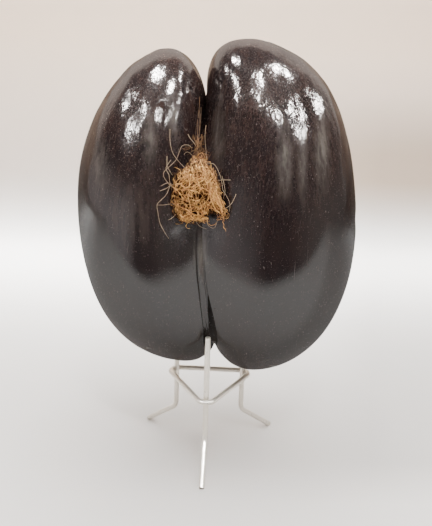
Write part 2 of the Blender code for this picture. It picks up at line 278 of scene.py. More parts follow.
class Field:
    """A socket of a shader that can be used in sums and products."""

    def __init__(self, kit, socket):
        self.kit = kit
        self.socket = socket

    def math(self, operation, *others, **settings):
        inputs = dict(enumerate((self, *others)))
        return self.kit.add("ShaderNodeMath", {"operation": operation, **settings}, inputs)

    def __add__(self, other):
        return self.math("ADD", other)

    def __mul__(self, other):
        return self.math("MULTIPLY", other)

    def __sub__(self, other):
        return self.math("SUBTRACT", other)

    def __truediv__(self, other):
        return self.math("DIVIDE", other)

    def __rsub__(self, other):
        return self.kit.add("ShaderNodeMath", {"operation": "SUBTRACT"}, {0: other, 1: self})

    def __abs__(self):
        return self.math("ABSOLUTE")

    def __pow__(self, other):
        return self.math("POWER", other)

    __radd__ = __add__
    __rmul__ = __mul__

    def clamp(self):
        return self.math("ADD", 0.0, use_clamp=True)

    def ramp(self, low, high):
        """0 below low and 1 above high, with a straight slope between them."""
        return ((self - low) / (high - low)).clamp()


class ShaderKit:
    """Makes the nodes of one material or world."""

    def __init__(self, owner):
        owner.use_nodes = True
        self.tree = owner.node_tree

    def add(self, kind, settings=None, inputs=None, output=0):
        """One node, with its settings first and then its sockets' values or links."""
        node = self.tree.nodes.new(kind)
        for name, value in (settings or {}).items():
            setattr(node, name, value)
        for name, value in (inputs or {}).items():
            self.feed(node.inputs[name], value)
        return Field(self, node.outputs[output])

    def feed(self, socket, value):
        if isinstance(value, Field):
            self.tree.links.new(value.socket, socket)
        elif hasattr(value, "__len__") and len(value) == 3 and socket.type == "RGBA":
            socket.default_value = (*value, 1.0)
        else:
            socket.default_value = value

    def feed_all(self, shader, values):
        for name, value in values.items():
            self.feed(shader.inputs[name], value)

    def place(self):
        return self.add("ShaderNodeTexCoord", output="Object")

    def axis(self, vector, letter):
        return self.add("ShaderNodeSeparateXYZ", inputs={"Vector": vector}, output=letter)

    def attribute(self, name):
        return self.add("ShaderNodeAttribute", {"attribute_name": name}, output="Fac")

    def upright(self, vector, factor):
        factors = (1.0, 1.0, factor)
        return self.add("ShaderNodeVectorMath", {"operation": "MULTIPLY"}, {0: vector, 1: factors})

    def grain(self, vector, scale, detail=2.0, roughness=0.5, distortion=0.0):
        inputs = {"Vector": vector, "Scale": scale, "Detail": detail, "Roughness": roughness,
                  "Distortion": distortion}
        return self.add("ShaderNodeTexNoise", inputs=inputs)

    def blend(self, share, first, second):
        """A colour between two colours."""
        return self.add("ShaderNodeMix", {"data_type": "RGBA"}, {0: share, 6: first, 7: second}, output=2)

    def bump(self, height, strength, distance):
        inputs = {"Height": height, "Strength": strength, "Distance": distance}
        return self.add("ShaderNodeBump", inputs=inputs)


def new_surface(name):
    """A material with its main shader, both ready to be fed."""
    material = bpy.data.materials.new(name)
    kit = ShaderKit(material)
    return material, kit, kit.tree.nodes["Principled BSDF"]


def lacquer_material(settings):
    """Near-black husk with upright grain, pale flecks and hair scratches under clear lacquer, with grey haze
    and painted reflections in patches, and painted shade that damps the gloss in the groove and in patches.
    """
    material, kit, shader = new_surface("lacquered_husk")
    place = kit.place()
    short = kit.upright(place, 0.35)
    grain = kit.grain(kit.upright(place, 0.08), 260.0, 3.0, 0.6)
    patches = kit.grain(place, 22.0, 3.0, 0.55, 0.6)
    pits = kit.grain(kit.upright(place, 0.55), 820.0, 2.0, 0.6)
    crevice_dust_and_shade, crown, dull, low = (kit.attribute(name) for name in ("crevice_dust_and_shade", "crown", "dull", "low"))
    brown = (grain.ramp(0.42, 0.72) * 0.55 + patches.ramp(0.4, 0.75) * 0.6) * (0.35 + crown * 0.65)
    color = kit.blend(brown.clamp(), settings.husk_dark, settings.husk_brown)
    # Brown dust in the groove's crevice; the same crevice gets painted shade below, where its gloss is damped
    color = kit.blend(crevice_dust_and_shade * 0.5, color, (0.020, 0.012, 0.008))
    sparse = kit.grain(place, 60.0, 2.0)
    flecks = kit.grain(short, 1000.0, 1.0).ramp(0.72, 0.78) * sparse.ramp(0.37, 0.58)
    dust = kit.grain(place, 1500.0, 0.0).ramp(0.78, 0.83) * 0.35
    speckle = kit.grain(place, 650.0, 3.0, 0.7).ramp(0.38, 0.66)
    # Grey haze in patches: partly bloom on the lacquer and partly painted reflection, such as the table's on
    # the seam band
    bloom_and_reflection = kit.attribute("bloom_and_reflection") * speckle * kit.grain(place, 120.0, 2.0).ramp(0.3, 0.6)
    # Painted reflection: upright grey bands where the ceiling would be reflected
    painted_reflection = kit.attribute("painted_reflection") * (0.35 + grain.ramp(0.38, 0.62) * 0.65)
    drift = kit.grain(kit.upright(place, 0.12), 42.0, 1.0, 0.5, 0.8)
    hair = 1.0 - abs(drift - 0.5).ramp(0.0, 0.0025)
    scratch = hair * kit.grain(place, 34.0, 0.0).ramp(0.73, 0.77) * 0.25
    specks = (flecks * 0.4 + dust + scratch).clamp()
    freckles = kit.grain(short, 620.0, 3.0, 0.8).ramp(0.46, 0.70) * (0.12 + crown * 0.42)
    color = kit.blend(freckles, color, (0.052, 0.040, 0.036))
    color = kit.blend(bloom_and_reflection * 0.75, color, (0.085, 0.082, 0.088))
    color = kit.blend((painted_reflection * 0.8).clamp(), color, (0.150, 0.138, 0.120))
    color = kit.blend(specks, color, settings.fleck)
    dents = kit.grain(kit.upright(place, 0.5), 400.0, 1.0) * crown * 4.0
    height = pits * (0.9 + crown * 0.5) + grain * (0.5 + crown * 2.4) + dents + specks * 0.4
    bump = kit.bump(height, 1.0, 0.00004)
    kit.feed_all(shader, {"Base Color": color, "Normal": bump, "Roughness": 0.6, "Specular IOR Level": 0.0})
    tint = kit.blend(crown, (0.93, 0.98, 1.0), (1.0, 0.94, 0.90))
    rough = 0.10 + patches.ramp(0.35, 0.7) * 0.05 + specks * 0.3 + low * 0.14 + bloom_and_reflection * 0.2 + painted_reflection * 0.04
    shine = {"Base Color": tint, "Metallic": 1.0, "Roughness": rough, "Normal": bump}
    gloss = kit.add("ShaderNodeBsdfPrincipled", inputs=shine)
    facing = kit.add("ShaderNodeLayerWeight", inputs={"Blend": 0.5}, output="Facing")
    share = 0.044 + facing**2 * (0.010 + crown * 0.055 + low * 0.045)
    # Painted shade: the gloss is damped in the groove's crevice and in the dull patches, which take out
    # reflections there
    share = share * (1.0 - specks * 0.5) * (1.0 - crevice_dust_and_shade * 0.8)
    share = share * (1.0 - (dull * 0.9).clamp()) * (1.0 - low * 0.18)
    coated = kit.add("ShaderNodeMixShader", inputs={0: share, 1: Field(kit, shader.outputs[0]), 2: gloss})
    kit.feed(kit.tree.nodes["Material Output"].inputs["Surface"], coated)
    return material


def fibre_material(name, light, dark):
    """Dry plant fibre, each one its own tan, with painted shade that darkens the fibres deep in the tuft."""
    material, kit, shader = new_surface(name)
    place = kit.place()
    own = kit.add("ShaderNodeNewGeometry", output="Random Per Island")
    ahead = kit.attribute("light")
    patches = kit.grain(place, 90.0, 2.0)
    along = kit.grain(place, 700.0, 2.0)
    # The light attribute lifts the fibres near the front; where it is low, deep fibres turn nearly black as
    # painted shade
    mix = (own * 0.8 + patches.ramp(0.3, 0.7) * 0.25 + along * 0.2 + ahead * 0.35 - 0.4).clamp()
    color = kit.blend(mix, dark, light)
    color = kit.blend(ahead, tuple(part * 0.16 for part in dark), color)
    kit.feed_all(shader, {"Base Color": color, "Roughness": 0.5 + along * 0.3,
                          "Normal": kit.bump(along, 0.3, 0.0001), "Specular IOR Level": 0.06})
    return material


def core_shade_material():
    """Dark brown felt behind the fibres, painted dark as the shade deep inside the tuft."""
    material, kit, shader = new_surface("tuft_core_shade")
    felt = kit.grain(kit.place(), 600.0, 3.0)
    color = kit.blend(felt.ramp(0.35, 0.7), (0.012, 0.005, 0.002), (0.06, 0.026, 0.009))
    kit.feed_all(shader, {"Base Color": color, "Roughness": 0.8 + felt * 0.1,
                          "Normal": kit.bump(felt, 1.0, 0.0004), "Specular IOR Level": 0.05})
    return material


def wire_material(settings):
    """Bright drawn wire with faint lengthwise marks and small dull spots."""
    material, kit, shader = new_surface("bright_wire")
    place = kit.place()
    spots = kit.grain(place, 140.0, 3.0, 0.6)
    marks = kit.grain(kit.upright(place, 0.1), 2400.0, 1.0)
    warm = tuple(part * tint for part, tint in zip(settings.metal, (0.90, 0.84, 0.76)))
    color = kit.blend(spots.ramp(0.45, 0.8) * 0.5, settings.metal, warm)
    rough = settings.roughness + spots.ramp(0.4, 0.8) * 0.08 + marks * 0.04
    kit.feed_all(shader, {"Base Color": color, "Roughness": rough,
                          "Normal": kit.bump(marks + spots, 0.2, 0.00002), "Metallic": 0.6})
    return material


# Shapes


def polynomial(factors, values):
    return sum(factor * values**power for power, factor in enumerate(factors))


def smoothstep(low, high, values):
    share = np.clip((values - low) / (high - low), 0.0, 1.0)
    return share * share * (3.0 - 2.0 * share)


def groove_x(z):
    return polynomial(GROOVE_LINE, (z - GROOVE_LINE_CENTRE) / GROOVE_LINE_SPAN)


def groove_share(z):
    """The share of the lobes' depth that is left at the groove: none where it's open."""
    rising = smoothstep(GROOVE_BOTTOM, GROOVE_BOTTOM_FULL, z)
    falling = 1.0 - smoothstep(GROOVE_TOP_FULL, GROOVE_TOP, z)
    return GROOVE_KEPT * rising * falling


def groove_y(z):
    """How far forward the bottom of the front groove lies."""
    level = (z - LOBE_LEFT["height"]) / LOBE_LEFT["half_height"]
    rim = np.sqrt(np.maximum(1.0 - level**2, 0.0))
    return NUT_Y - DEPTH_FRONT * (1.0 - DEPTH_TAPER * level) * rim * groove_share(z)


def inner_stretch(z, middle, half_width):
    """How much wider a lobe's inner side is, so that it meets the other one in the groove."""
    share = groove_share(z)
    across = np.sqrt(1.0 - share * share)
    wanted = np.abs(groove_x(z) - middle) / half_width - CREST_SHIFT * share * share
    blend = smoothstep(GROOVE_BOTTOM, GROOVE_BOTTOM + GROOVE_MEETS_LOW, z)
    blend *= 1.0 - smoothstep(GROOVE_TOP - GROOVE_MEETS, GROOVE_TOP, z)
    return np.where(share > 0.0, blend * (wanted / across - 1.0) / (across**2 * (2.0 - across**2)), 0.0)


def lobe_points(lobe, unit):
    """The lobe's surface for points of the unit ball."""
    rim = np.maximum(np.sqrt(np.maximum(1.0 - unit[:, 2] ** 2, 0.0)), 1e-6)
    z = lobe["height"] + lobe["half_height"] * unit[:, 2]
    middle = polynomial(lobe["middle"], unit[:, 2])
    half_width = polynomial(lobe["width"], unit[:, 2]) * rim
    depth = np.where(unit[:, 1] < 0.0, DEPTH_FRONT, DEPTH_BACK)
    y = NUT_Y + depth * (1.0 - DEPTH_TAPER * unit[:, 2]) * unit[:, 1]
    across = np.clip(unit[:, 0] / rim, -1.0, 1.0)
    shift = CREST_SHIFT * lobe["inner_side"] * (1.0 - across**2)
    stretch = inner_stretch(z, middle, half_width) * across**2 * (2.0 - across**2)
    inner = across * lobe["inner_side"] > 0.0
    across = np.where(inner, across * (1.0 + stretch), across)
    return np.column_stack((middle + half_width * (across + shift), y, z))


def ball(segments, rings):
    """Points and faces of a unit ball with its poles up and down."""
    points = [(0.0, 0.0, 1.0)]
    for ring in range(1, rings):
        tilt = math.pi * ring / rings
        for segment in range(segments):
            turn = math.tau * segment / segments
            points.append((math.sin(tilt) * math.cos(turn), math.sin(tilt) * math.sin(turn), math.cos(tilt)))
    points.append((0.0, 0.0, -1.0))
    faces = []
    for segment in range(segments):
        after = (segment + 1) % segments
        faces.append((0, 1 + segment, 1 + after))
        for ring in range(rings - 2):
            low = 1 + ring * segments
            faces.append((low + segment, low + segments + segment, low + segments + after, low + after))
        low = 1 + (rings - 2) * segments
        faces.append((low + segment, len(points) - 1, low + after))
    return np.array(points), faces


def tube_faces(base, rows, around):
    """The end caps and sides of a tube whose points run round it, row after row."""
    last = base + rows * around
    faces = [tuple(reversed(range(base, base + around))), tuple(range(last, last + around))]
    for low in range(base, last, around):
        for step in range(around):
            after = (step + 1) % around
            faces.append((low + step, low + after, low + around + after, low + around + step))
    return faces


def linked(name, data):
    obj = bpy.data.objects.new(name, data)
    bpy.context.scene.collection.objects.link(obj)
    return obj


def new_object(name, points, faces, material=None):
    mesh = bpy.data.meshes.new(name)
    mesh.from_pydata([tuple(point) for point in points], [], faces)
    mesh.update()
    if material:
        mesh.materials.append(material)
    return linked(name, mesh)


def points_of(mesh, kind="co"):
    """The places of a mesh's vertices, or with the kind "normal" their normals."""
    values = np.empty(len(mesh.vertices) * 3)
    mesh.vertices.foreach_get(kind, values)
    return values.reshape(-1, 3)


def set_points(mesh, points):
    mesh.vertices.foreach_set("co", points.ravel())
    mesh.update()


def smooth_shade(mesh, angle):
    mesh.polygons.foreach_set("use_smooth", [True] * len(mesh.polygons))
    mesh.set_sharp_from_angle(angle=math.radians(angle))


def uneven(points, scales, offset):
    """Smooth noise, one value a point, stretched by a scale along each axis."""
    shifted = points * np.array(scales) + offset
    return np.array([noise.noise(Vector(point)) for point in shifted])


def husk_relief(points, settings):
    """How far the husk stands out of its plain shape: swells, upright flutes and dents."""
    crown = smoothstep(0.235, 0.325, points[:, 2])
    swell = uneven(points, (17.0, 17.0, 13.0), 4.2) + 0.45 * uneven(points, (38.0, 38.0, 22.0), 9.1)
    flute = uneven(points, (78.0, 60.0, 11.0), 1.7) + 0.5 * uneven(points, (150.0, 120.0, 16.0), 6.3)
    relief = settings.swell_depth * swell
    relief += settings.flute_depth * flute * (0.12 + 1.1 * crown)
    for centre, reach, depth in DENTS:
        relief -= depth * np.exp(-np.linalg.norm((points - np.array(centre)) / np.array(reach), axis=1) ** 2)
    return relief


def fine_lobe(name, lobe, settings):
    unit, faces = ball(settings.segments, settings.rings)
    obj = new_object(name, lobe_points(lobe, unit), faces)
    points = points_of(obj.data)
    relief = husk_relief(points, settings)
    set_points(obj.data, points + points_of(obj.data, "normal") * relief[:, None])
    return obj


def camera_axes():
    """The camera's right, up and forward directions."""
    level = math.cos(CAMERA_PITCH)
    forward = Vector((math.sin(CAMERA_PAN) * level, math.cos(CAMERA_PAN) * level, -math.sin(CAMERA_PITCH)))
    right = Vector((math.cos(CAMERA_PAN), -math.sin(CAMERA_PAN), 0.0))
    up = right.cross(forward)
    turned = right * math.cos(CAMERA_ROLL) + up * math.sin(CAMERA_ROLL)
    return turned, up * math.cos(CAMERA_ROLL) - right * math.sin(CAMERA_ROLL), forward


def seen_at(column, row, y):
    """The point at this depth that the camera sees in this column and row of the picture."""
    right, up, forward = camera_axes()
    ray = forward + right * ((column - IMAGE_WIDTH / 2) / FOCAL_PIXELS)
    ray -= up * ((row - IMAGE_HEIGHT / 2) / FOCAL_PIXELS)
    return Vector(CAMERA_PLACE) + ray * ((y - CAMERA_PLACE[1]) / ray.y)


def pixels_of(points):
    """The columns and rows at which the camera sees these points."""
    right, up, forward = (np.array(axis) for axis in camera_axes())
    away = points - np.array(CAMERA_PLACE)
    depth = away @ forward
    columns = IMAGE_WIDTH / 2 + FOCAL_PIXELS * (away @ right) / depth
    return columns, IMAGE_HEIGHT / 2 - FOCAL_PIXELS * (away @ up) / depth


def patched(points, patches):
    """How strongly patches of the picture cover these points of the nut's front."""
    columns, rows = pixels_of(points)
    total = np.zeros(len(points))
    for column, row, half_width, half_height, strength in patches:
        distance = ((columns - column) / half_width) ** 2 + ((rows - row) / half_height) ** 2
        total += strength * np.exp(-distance)
    return total * (points[:, 1] < NUT_Y - 0.012)


def seam_band():
    """The raised band in the groove, as an upright sweep that narrows towards the front prong."""
    points = []
    for row in range(SEAM_ROWS + 1):
        share = row / SEAM_ROWS
        z = SEAM_END + (SEAM_TOP - SEAM_END) * share
        middle = float(groove_x(z)) - SEAM_SHIFT
        sunk = 0.010 * max(share - 0.8, 0.0)
        front = float(groove_y(z)) - SEAM_PROUD + sunk
        half = SEAM_HALF_WIDTH * math.sqrt(min((z - SEAM_END + 0.0004) / 0.030, 1.0))
        for step in range(SEAM_SIDES):
            turn = math.tau * step / SEAM_SIDES
            wobble = 0.00016 * noise.noise(Vector((math.cos(turn) * 2.5, math.sin(turn) * 2.5, z * 90.0)))
            parts = (math.cos(turn), math.sin(turn))
            side, ahead = (math.copysign(abs(part) ** SEAM_SQUARE, part) for part in parts)
            y = front + SEAM_HALF_DEPTH * (1.0 + ahead) + wobble
            points.append((middle + (half + wobble) * side, y, z))
    return np.array(points), tube_faces(0, SEAM_ROWS, SEAM_SIDES)


def crease_outline(path, halves):
    """The outline of a crease in the picture, down its left side and up its right."""
    left = [(column - half, row) for (column, row), half in zip(path, halves)]
    right = [(column + half, row) for (column, row), half in zip(path, halves)]
    return left + right[::-1]


def cutter(name, outline, depth):
    """A solid that cuts this outline of the picture out of the nut, to a depth behind the groove."""
    count = len(outline)
    points = [seen_at(column, row, -0.09) for column, row in outline]
    for column, row in outline:
        z = seen_at(column, row, -0.05).z
        points.append(seen_at(column, row, float(groove_y(max(z, 0.12))) + depth))
    faces = [tuple(range(count)), tuple(reversed(range(count, 2 * count)))]
    for index in range(count):
        after = (index + 1) % count
        faces.append((after, index, count + index, count + after))
    obj = new_object(name, points, faces)
    shape = bmesh.new()
    shape.from_mesh(obj.data)
    bmesh.ops.triangulate(shape, faces=shape.faces[:])
    bmesh.ops.recalc_face_normals(shape, faces=shape.faces[:])
    shape.to_mesh(obj.data)
    shape.free()
    return obj


def carved(name, objects, cutters):
    """One mesh object from closed ones that overlap, less the cutters."""
    first = objects[0]
    for other in objects[1:] + cutters:
        modifier = first.modifiers.new("step", "BOOLEAN")
        modifier.operation = "DIFFERENCE" if other in cutters else "UNION"
        modifier.object = other
        modifier.solver = "MANIFOLD"
    evaluated = first.evaluated_get(bpy.context.evaluated_depsgraph_get())
    mesh = bpy.data.meshes.new_from_object(evaluated)
    mesh.name = name
    for obj in objects + cutters:
        bpy.data.objects.remove(obj)
    return linked(name, mesh)


def set_attribute(mesh, name, values):
    attribute = mesh.attributes.new(name, "FLOAT", "POINT")
    attribute.data.foreach_set("value", values.astype(np.float32))


def to_origin(obj):
    """Moves a finished mesh from the nut's own frame into the solids' frame."""
    set_points(obj.data, points_of(obj.data) - ORIGIN)


# Tuft


def clear_of(tree, point, clearance):
    """The point, moved off the nut where it's nearer than the clearance."""
    for _ in range(4):
        place, normal = tree.find_nearest(point)[:2]
        if (point - place).dot(normal) >= clearance:
            return point
        point = place + normal * clearance
    return point


def tuft_place(x, z):
    """The place across and up the tuft in half widths and half heights, with its lean taken out."""
    upward = (z - TUFT_Z) / TUFT_HALF_HEIGHT
    return (x - TUFT_X) / TUFT_HALF_WIDTH + TUFT_LEAN * upward, upward


def rounded(sideways, upward, ahead=0.0):
    """1 on the tuft's outline and less inside it: round at the top, nearly square at the bottom."""
    power = TUFT_ROUND_TOP if upward > 0.0 else TUFT_ROUND_BOTTOM
    return (abs(sideways) ** power + abs(upward) ** power + abs(ahead) ** power) ** (1.0 / power)


def tuft_front(x, z, lift):
    bulge = math.sqrt(max(1.0 - 0.75 * rounded(*tuft_place(x, z)) ** 2, 0.0))
    return TUFT_Y - TUFT_HALF_DEPTH * bulge - lift


def on_tuft(column, row, lift, tree, radius):
    """The point of a fibre in this pixel, this far in front of the tuft's surface."""
    guess = seen_at(column, row, TUFT_Y - 0.8 * TUFT_HALF_DEPTH)
    return clear_of(tree, seen_at(column, row, tuft_front(guess.x, guess.z, lift)), CLEARANCE + radius)


def inside(column, row):
    """Whether a pixel lies within the tuft's outline."""
    crossings = 0
    for (left, low), (right, high) in zip(TUFT_OUTLINE, TUFT_OUTLINE[1:] + TUFT_OUTLINE[:1]):
        if (low > row) != (high > row):
            crossings += column < left + (row - low) / (high - low) * (right - left)
    return crossings % 2 == 1


def nearness(patch, column, row):
    """Over 1 within an oval patch of the picture, and under 1 outside it."""
    middle, height, half_width, half_height = patch
    distance = ((column - middle) / half_width) ** 2 + ((row - height) / half_height) ** 2
    return 1.0 / max(distance, 0.01)


def wander(dice, column, row, heading, steps, curl, swing, loose):
    """The pixels along a swaying fibre, which turns back near the tuft's outline unless it's loose."""
    pixels = [(column, row)]
    phase = dice.uniform(0.0, math.tau)
    pace = dice.uniform(0.7, 1.5)
    aside, below = dice.gauss(0.0, 1.9), dice.gauss(0.0, 1.9)
    for index in range(steps):
        angle = math.radians(heading + swing * math.sin(phase + index * pace))
        ahead = (column + 1.1 * math.cos(angle), row + 1.1 * math.sin(angle))
        if not loose and not inside(ahead[0] + aside, ahead[1] + below):
            heading += dice.choice((-75.0, 75.0))
            continue
        column, row = ahead
        heading += curl
        pixels.append(ahead)
    return pixels


def mat_pixels(dice):
    """A short curl anywhere in the tuft."""
    column, row = 0.0, 0.0
    while not inside(column, row):
        column, row = dice.uniform(168.0, 229.0), dice.uniform(150.0, 223.0)
    loose = dice.random() < 0.08
    return wander(dice, column, row, dice.uniform(0.0, 360.0), dice.randint(8, 19), dice.gauss(0.0, 8.0),
                  dice.uniform(3.0, 26.0), loose)


def brush_pixels(dice):
    """A golden fibre of the brush that runs from the top down to the right corner."""
    share = dice.uniform(0.0, 0.85)
    across = dice.gauss(0.0, 4.6) * (0.75 + 0.35 * share)
    column = BRUSH_START[0] + (BRUSH_END[0] - BRUSH_START[0]) * share + across
    row = BRUSH_START[1] + (BRUSH_END[1] - BRUSH_START[1]) * share - 0.3 * across
    return wander(dice, column, row, 66.0 + dice.gauss(0.0, 11.0), dice.randint(7, 20), dice.gauss(0.0, 2.5),
                  dice.uniform(8.0, 26.0), dice.random() < 0.05)


def hanging_pixels(dice):
    """A fibre that hangs over the left side and the middle."""
    column, row = dice.gauss(193.0, 6.0), dice.gauss(170.0, 7.0)
    return wander(dice, column, row, dice.gauss(108.0, 24.0), dice.randint(9, 26), dice.gauss(0.0, 4.0),
                  dice.uniform(8.0, 24.0), False)


def rim_pixels(dice):
    """A wavy fibre along the lower rim."""
    column, row = dice.uniform(*RIM_COLUMNS), RIM_ROW + dice.gauss(0.0, 1.9)
    return wander(dice, column, row, dice.choice((0.0, 180.0)) + dice.gauss(0.0, 16.0), dice.randint(6, 15),
                  dice.gauss(0.0, 5.0), dice.uniform(10.0, 35.0), False)


def tuft_fibre(dice, tree, radius):
    """A fibre as its points, its radius and how light it is at each point, with painted shade for deep
    fibres, or None over the hole.
    """
    kind = dice.random()
    shares = ((0.56, mat_pixels), (0.82, brush_pixels), (0.93, hanging_pixels), (1.0, rim_pixels))
    pixels = next(maker for share, maker in shares if kind <= share)(dice)
    if len(pixels) < 4:
        return None
    if not all(inside(*pixel) for pixel in pixels):
        radius *= 0.65
    holes = sum(nearness(TUFT_HOLE, *pixel) > 1.0 for pixel in pixels)
    if holes > 1 and dice.random() > 0.05:
        return None
    depth = dice.random() ** 0.7
    # Painted shade: the deeper a fibre lies the darker it is, and fibres in the hollow are darker still
    depth_shade_rate = 1.38 + max(min((196.0 - pixels[0][1]) / 45.0, 0.8), -0.45)
    lift = 0.0024 - 0.0088 * depth
    wave = dice.uniform(0.0, 0.0014)
    points, light = [], []
    for index, (column, row) in enumerate(pixels):
        sunk = 0.0020 if nearness(TUFT_HOLLOW, column, row) > 1.0 else 0.0
        points.append(on_tuft(column, row, lift - sunk + wave * math.sin(index * 0.8), tree, radius))
        tone_and_shade = 1.1 - depth_shade_rate * depth - (0.12 if sunk else 0.0)
        light.append(max(min(tone_and_shade + 0.25 * math.sin(index * 1.3 + 9.0 * depth), 1.0), 0.0))
    return points, radius, light


def neck_fibre(dice, tree, radius):
    """A sparse brown fibre above the tuft."""
    column, row = dice.gauss(198.5, 4.0), dice.uniform(134.0, 152.0)
    pixels = wander(dice, column, row, dice.gauss(92.0, 24.0), dice.randint(6, 14), dice.gauss(0.0, 7.0),
                    dice.uniform(10.0, 35.0), True)
    lift = dice.uniform(-0.012, -0.001)
    points = [on_tuft(column, row, lift, tree, radius) for column, row in pixels]
    return points, radius, [dice.uniform(0.35, 1.0)] * len(points)


def sinus_path(dice, tree, radius):
    """A brown fibre that lies on the left lobe's flank, from the open cleft down into the tuft."""
    x = -0.0152 + dice.gauss(0.0, 0.0010)
    top = dice.uniform(0.300, 0.336)
    bottom = dice.uniform(0.274, 0.290)
    y = -0.034 + dice.gauss(0.0, 0.007)
    points = []
    for index in range(11):
        share = index / 10
        z = top + (bottom - top) * share
        side = 0.0006 * math.sin(share * 9.0 + x * 4000.0)
        depth = y + 0.012 * (1.0 - share) - 0.020 * share
        points.append(clear_of(tree, Vector((x + side, depth, z)), SINUS_CLEARANCE + radius))
    return points


def stray_path(lift, pixels, tree, radius):
    """A loose fibre through the picture's points, kept off the nut."""
    controls = [seen_at(column, row, STRAY_Y) for column, row in pixels]
    points = []
    for index, (start, end) in enumerate(zip(controls, controls[1:])):
        before = controls[max(index - 1, 0)]
        after = controls[min(index + 2, len(controls) - 1)]
        for step in range(4):
            t = step / 4
            point = 2.0 * start + (end - before) * t
            point += (2.0 * before - 5.0 * start + 4.0 * end - after) * t**2
            point += (3.0 * start - before - 3.0 * end + after) * t**3
            points.append(0.5 * point)
    points.append(controls[-1])
    hung = []
    eye = Vector(CAMERA_PLACE)
    for index, point in enumerate(points):
        share = index / (len(points) - 1)
        ray = (point - eye).normalized()
        surface = tree.ray_cast(eye, ray)[0] or tree.find_nearest(point)[0]
        held = min((surface - eye).length, (point - eye).length + 0.02)
        rise = lift * 0.001 * (0.35 + math.sin(math.pi * share) * 0.65)
        hung.append(clear_of(tree, eye + ray * (held - rise), CLEARANCE + radius))
    return hung


def tubes(name, fibres, material, sides=3):
    """One object of thin tubes along the fibres, each tapering to its tip."""
    points, faces, tone_and_shade = [], [], []
    for path, radius, light in fibres:
        base = len(points)
        count = len(path)
        for index, place in enumerate(path):
            ahead = path[min(index + 1, count - 1)] - path[max(index - 1, 0)]
            ahead = ahead.normalized() if ahead.length > 1e-9 else Vector((0.0, 0.0, 1.0))
            side = ahead.cross(Vector((0.3, 1.0, 0.2))).normalized()
            other = ahead.cross(side)
            size = radius * (1.0 if index < count - 3 else 0.35 + 0.65 * (count - 1 - index) / 3)
            for step in range(sides):
                turn = math.tau * step / sides
                points.append(place + (side * math.cos(turn) + other * math.sin(turn)) * size)
            tone_and_shade.extend([light[index]] * sides)
        faces += tube_faces(base, count - 1, sides)
    obj = new_object(name, points, faces, material)
    # The light attribute carries each fibre's tone and the painted shade of the deep fibres
    set_attribute(obj.data, "light", np.array(tone_and_shade))
    return obj


def core_mesh(tree):
    """A lumpy core that fills the middle of the tuft, where its dark felt stands for the shade between the
    fibres.
    """
    unit, faces = ball(40, 28)
    points = []
    for value in unit:
        lump = 0.84 + 0.14 * noise.noise(Vector(value) * 3.0) + 0.06 * noise.noise(Vector(value) * 9.0)
        across, front, up = value
        size = rounded(across, up, front)
        across, front, up = (lump / size * part for part in value)
        x = TUFT_X + TUFT_HALF_WIDTH * (across - TUFT_LEAN * up)
        y = TUFT_Y + TUFT_HALF_DEPTH * front * 0.72
        points.append(clear_of(tree, Vector((x, y, TUFT_Z + TUFT_HALF_HEIGHT * up)), CORE_CLEARANCE))
    return points, faces


def nut_tree():
    """The finished nut's surface, in its own frame."""
    nut = bpy.data.objects["nut_husk"]
    points = [Vector(point) for point in points_of(nut.data) + ORIGIN]
    return BVHTree.FromPolygons(points, [tuple(polygon.vertices) for polygon in nut.data.polygons])


# Operators


class CoconutNut(bpy.types.Operator):
    """Builds the two-lobed nut with its flutes, dents and seam band"""

    bl_idname = "coconut.nut"
    bl_label = "Nut"

    def execute(self, context):
        settings = context.scene.coconut_nut
        lobes = [fine_lobe("left", LOBE_LEFT, settings), fine_lobe("right", LOBE_RIGHT, settings)]
        band = new_object("band", *seam_band())
        cutters = [
            cutter("crease_left", crease_outline(CREASE_LEFT, CREASE_LEFT_HALF), CREASE_LEFT_DEPTH),
            cutter("crease_right", crease_outline(CREASE_RIGHT, CREASE_RIGHT_HALF), CREASE_RIGHT_DEPTH),
            cutter("hollow", HOLLOW, HOLLOW_DEPTH),
        ]
        nut = carved("nut_husk", [*lobes, band], cutters)
        points = points_of(nut.data)
        ahead = points[:, 1] - groove_y(np.clip(points[:, 2], 0.11, 0.335))
        aside = np.abs(points[:, 0] - groove_x(points[:, 2]))
        near = np.exp(-((aside / 0.009) ** 4)) * smoothstep(0.0002, 0.0016, ahead)
        # The crevice attribute marks brown dust and painted shade along the groove
        set_attribute(nut.data, "crevice_dust_and_shade", near * (points[:, 1] < NUT_Y + 0.01))
        set_attribute(nut.data, "crown", smoothstep(*CROWN_HEIGHTS, points[:, 2]))
        set_attribute(nut.data, "low", 1.0 - smoothstep(*LOW_HEIGHTS, points[:, 2]))
        # The patches add haze and painted reflections, and the dull patches add painted shade that damps the
        # gloss
        for name, patches in {"bloom_and_reflection": BLOOMS_AND_REFLECTIONS, "painted_reflection": REFLECTION_BANDS, "dull": SHADE_PATCHES}.items():
            set_attribute(nut.data, name, patched(points, patches))
        to_origin(nut)
        smooth_shade(nut.data, 42.0)
        nut.data.materials.clear()
        nut.data.materials.append(lacquer_material(settings))
        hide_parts("nut")
        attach(nut, BODY)
        return {"FINISHED"}


